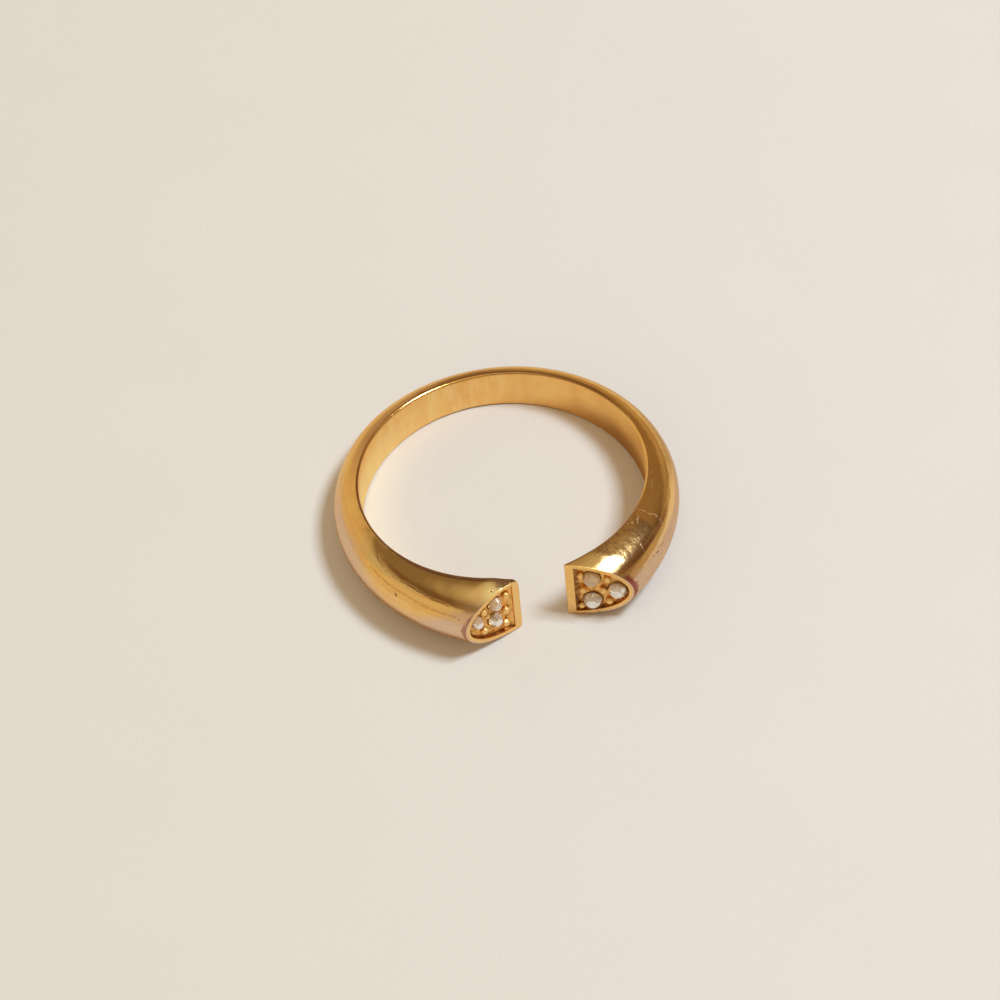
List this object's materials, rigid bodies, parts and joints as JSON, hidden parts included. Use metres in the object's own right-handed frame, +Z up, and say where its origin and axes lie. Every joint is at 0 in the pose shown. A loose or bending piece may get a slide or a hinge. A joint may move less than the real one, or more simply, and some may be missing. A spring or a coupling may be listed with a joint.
{
  "type": "open cuff ring",
  "caption": "Open cuff finger ring: D-section band that thickens towards two slanted, D-shaped ends, each a shallow pocket set with small round stones.",
  "frame": {"origin": "centre of the bounding box at its bottom, on the surface that the ring lies on", "axes": "+Z up from the surface, -Y through the gap between the two ends, +X towards the right end"},
  "size_m": [0.0204, 0.02, 0.0044],
  "materials": {
    "gold": "worn satin gilding, paler where rubbed",
    "stone": "small old cut stones, greyish white"
  },
  "bodies": {
    "root": {"band": "gold", "left_stone_low": "stone", "left_stone_high": "stone", "left_stone_outer": "stone", "right_stone_low": "stone", "right_stone_high": "stone", "right_stone_outer": "stone"}
  },
  "joints": []
}
